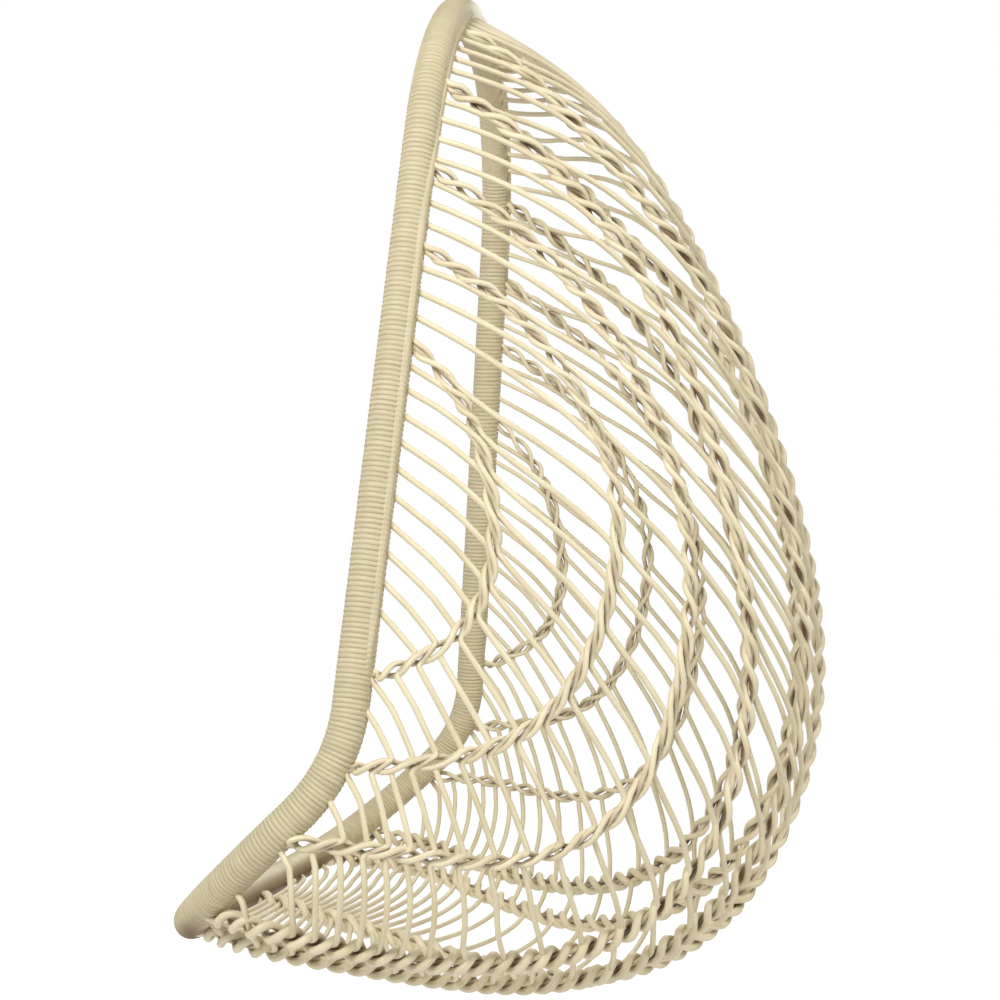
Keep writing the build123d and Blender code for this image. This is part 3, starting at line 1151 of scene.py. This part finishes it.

# %% [markdown]
# Under the turns lies a core that closes the gaps between them. Near the crown and round the corner of
# the lip a smooth layer covers them. Along the uprights a beaded edge runs at the back of the rim, a
# small loop for each turn. All three are canes, and a thickness that changes along the path makes the
# loops and the soft ends of the layers. Shade is painted on the underside of the lip, darker and
# browner, and the attribute of the painted shade says where.

# %% Core, smooth layers and beaded edge
core_inset, cover_inset, sleeve_inset = 0.9, 0.25, 0.2
smooth_end, nose_start, taper = 330.0, 1278.0, 0.965
cover_places = (0.0, 0.4, 0.6, 1.0)
smooth_sides, core_sides, bead_sides = 32, 24, 12
bead_radius, bead_offset, bead_end = 6.4, 14.6, 972.0
bead_step, bead_sink, bead_fade = 1.3, 3.0, 50
bead_back, bead_out = 0.85, 0.53
loop_low, loop_rise, loop_power = 0.80, 0.20, 0.6
# painted shade on the underside of the lip: where it starts, over what depth it grows, how dark it gets
shade_lift, shade_over, most_shade = 7.0, 22.0, 0.95
lip_from, lip_over = -990.0, 24.0


def rim_part(first, last, mirror):
    """Points of the rim's centre line between two runs, on one side."""
    d = lengths(rim_line)
    return flipped(rim_line[(d >= first) & (d <= last)], mirror)


def smooth_cover(name, first, last, radii, mirror):
    """A smooth layer over the turns between two runs of the rim."""
    line = rim_part(first, last, mirror)
    shares = np.interp(np.linspace(0.0, 1.0, len(line)), cover_places, radii)
    return cane(name, [line], binding_radius - cover_inset, turn_finish, sides=smooth_sides, radii=[shares])


def bead_path():
    """Centre line of the beaded edge: inside the rim, so that only its swelling shows."""
    points = []
    for run in np.arange(crown_reach, bead_end + 1, bead_step):
        line = min(max((run - first_run) / mean_pitch, 0), line_span)
        middle, _, leave, side, _ = rim_frame(run, shell(leaning_run(line, 6), 6))
        sunk = bead_sink * clipped((run - bead_end + bead_fade) / bead_fade)
        points.append(middle + (leave * bead_back + side * bead_out) * (bead_offset - sunk))
    return np.array(points)


def beaded_edge(name, mirror):
    """The beaded edge of one side, a loop for each turn."""
    edge = bead_path()
    loops = loop_low + loop_rise * np.abs(np.sin(np.pi * lengths(edge) / upper_pitch)) ** loop_power
    return cane(name, [flipped(edge, mirror)], bead_radius, turn_finish, sides=bead_sides, radii=[loops])


def shade_underside(piece):
    """Paint shade on the underside of the lip: the binding turns darker and browner there."""
    mesh = piece.data
    co = np.empty(len(mesh.vertices) * 3)
    mesh.vertices.foreach_get("co", co)
    co = co.reshape(-1, 3) * 1000
    middle = np.interp(co[:, 1], rim_line[::-1, 1], rim_line[::-1, 2])
    under = np.clip((middle + shade_lift - co[:, 2]) / shade_over, 0.0, 1.0)
    under *= np.clip((lip_from - middle) / lip_over, 0.0, 1.0)
    # painted shade, darker and browner lower on the lip
    underside_shade = mesh.attributes.new("painted_shade", "FLOAT", "POINT")
    underside_shade.data.foreach_set("value", (most_shade * under).astype(np.float32))


print("beaded edge:", len(bead_path()), "points")

# %% [markdown]
# Each side of the rim is one piece: turns, core, smooth layers and beaded edge are joined, because one
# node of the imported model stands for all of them. Each side has its own dice, so the two sides aren't
# quite alike.

# %% The two sides of the rim
side_seeds = {1: 7, -1: 8}


def wound_side(name, mirror, node):
    """One side of the rim with all its winding."""
    places = turn_places()
    side = turn_row(name, places, random.Random(side_seeds[mirror]))
    bend_along_rim(side, mirror)
    side.data.materials.append(turn_finish)
    bpy.ops.object.shade_smooth()
    lip_start = rim_length - lip_reach
    core = cane(name + "_core", [rim_part(crown_reach, lip_start, mirror)], binding_radius - core_inset,
                turn_finish, sides=core_sides)
    upper = smooth_cover(name + "_upper", crown_reach, smooth_end, (1.0, 1.0, 1.0, taper), mirror)
    nose = smooth_cover(name + "_nose", nose_start, lip_start, (taper, 1.0, 1.0, 1.0), mirror)
    bead = beaded_edge(name + "_bead", mirror)
    bpy.ops.object.select_all(action="DESELECT")
    for piece in (core, upper, nose, bead, side):
        piece.select_set(True)
    bpy.context.view_layer.objects.active = side
    bpy.ops.object.join()
    shade_underside(side)
    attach(side, "root")
    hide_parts(node)
    print(name, len(places), "turns,", len(side.data.polygons), "faces")


wound_side("binding_turns_right", 1, "rim_binding_right")
wound_side("binding_turns_left", -1, "rim_binding_left")

# %% [markdown]
# At the crown and at the lip the turns are so close that they read as a smooth sleeve. Turns would add
# faces there and show nothing more, so each sleeve is a bevelled curve over the middle of the rim.

# %% The smooth sleeves at the crown and the lip
sleeve_overlap = 4.0


def sleeve(name, first, last, node):
    """A smooth sleeve over the middle of the rim, from the left side to the right."""
    right, left = rim_part(first, last, 1.0), rim_part(first, last, -1.0)
    if first == 0:
        path = np.vstack([left[::-1], right[1:]])
    else:
        path = np.vstack([left, right[::-1][1:]])
    piece = cane(name, [path], binding_radius - sleeve_inset, turn_finish, sides=smooth_sides)
    shade_underside(piece)
    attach(piece, "root")
    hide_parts(node)
    print(name, len(path), "rings")


sleeve("crown_sleeve", 0, crown_reach + sleeve_overlap, "rim_binding_crown")
sleeve("lip_sleeve", rim_length - lip_reach - sleeve_overlap, rim_length, "rim_binding_lip")

# %% [markdown]
# The tube and its plugs are hidden under the winding. Nothing of them is seen, so they stay as the packed
# model has them and get a painted steel with a faint change of tone.

# %% Painted steel for the hidden tube
steel, tree, shader = new_finish("painted_steel", {"Metallic": 0.0, "Roughness": 0.45})
place = new_node(tree, "TexCoord")
noise = new_node(tree, "TexNoise", {"Scale": 180.0})
tones = ramp(tree, 0.0, screen(120, 112, 96), 1.0, screen(146, 138, 120))
link_up(tree,
        (place, "Object", noise, "Vector"),
        (noise, "Fac", tones, "Fac"),
        (tones, "Color", shader, "Base Color"))
hidden = ("rim_tube_right", "rim_tube_left", "crown_plug", "lip_plug")
for name in hidden:
    nodes[name].data.materials.clear()
    nodes[name].data.materials.append(steel)
print("steel on", len(hidden), "nodes")
